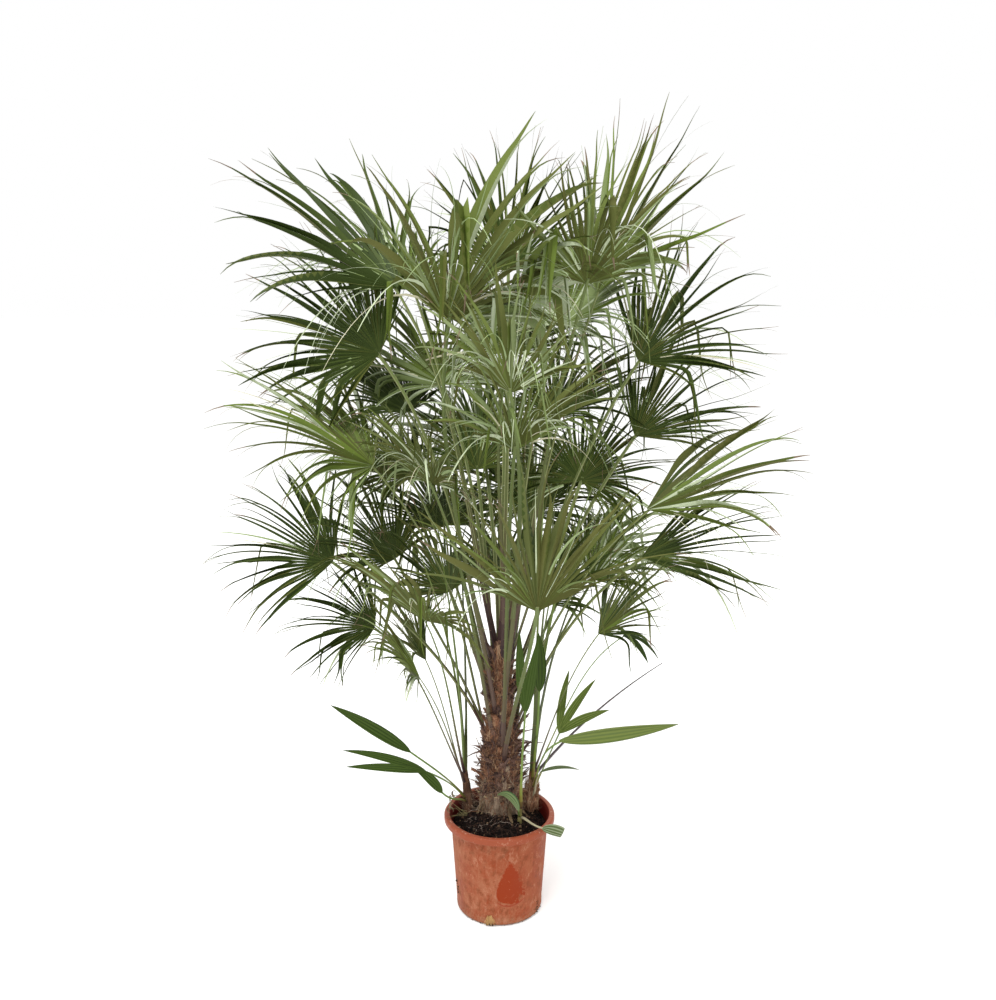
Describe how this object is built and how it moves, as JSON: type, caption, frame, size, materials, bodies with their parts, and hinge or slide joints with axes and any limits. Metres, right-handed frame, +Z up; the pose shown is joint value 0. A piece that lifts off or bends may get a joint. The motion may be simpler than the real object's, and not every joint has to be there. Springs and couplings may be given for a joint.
{
  "type": "potted european fan palm",
  "caption": "Bushy fan palm with a fibrous trunk, suckers and pleated fan fronds on long stalks, standing in a round nursery pot.",
  "frame": {"origin": "centre of the pot's flat underside, on the surface that the plant stands on", "axes": "+Z up along the trunk, -Y towards the side seen in the picture, +X to that view's right"},
  "size_m": [1.2565, 1.0438, 1.7913],
  "materials": {
    "pot": "terracotta-coloured moulded plastic, dusty and scuffed",
    "soil": "dark moist potting soil with pale roots",
    "bark": "matted brown fibre and old leaf bases",
    "frond": "leathery green leaf, satin above and greyer beneath",
    "young_leaf": "softer, brighter green young leaf"
  },
  "bodies": {
    "root": {"pot": "pot", "soil": "soil", "trunk": "bark", "sucker_left": "bark", "sucker_right": "bark", "sucker_front": "bark", "frond_01": "frond", "frond_02": "frond", "frond_03": "frond", "frond_04": "frond", "frond_05": "frond", "frond_06": "frond", "frond_07": "frond", "frond_08": "frond", "frond_09": "frond", "frond_10": "frond", "frond_11": "frond", "frond_12": "frond", "frond_13": "frond", "frond_14": "frond", "frond_15": "frond", "frond_16": "frond", "frond_17": "frond", "frond_18": "frond", "frond_19": "frond", "frond_20": "frond", "frond_21": "frond", "frond_22": "frond", "frond_23": "frond", "frond_24": "frond", "frond_25": "frond", "frond_26": "frond", "frond_27": "frond", "frond_28": "frond", "frond_29": "frond", "frond_30": "frond", "frond_31": "frond", "frond_32": "frond", "frond_33": "frond", "frond_34": "frond", "frond_35": "frond", "frond_36": "frond", "frond_37": "frond", "frond_38": "frond", "frond_39": "frond", "frond_40": "frond", "frond_41": "frond", "young_leaf_01": "young_leaf", "young_leaf_02": "young_leaf", "young_leaf_03": "young_leaf", "young_leaf_04": "young_leaf", "young_leaf_05": "young_leaf", "young_leaf_06": "young_leaf", "young_leaf_07": "young_leaf", "young_leaf_08": "young_leaf", "young_leaf_09": "young_leaf", "young_leaf_10": "young_leaf", "young_leaf_11": "young_leaf"}
  },
  "joints": []
}
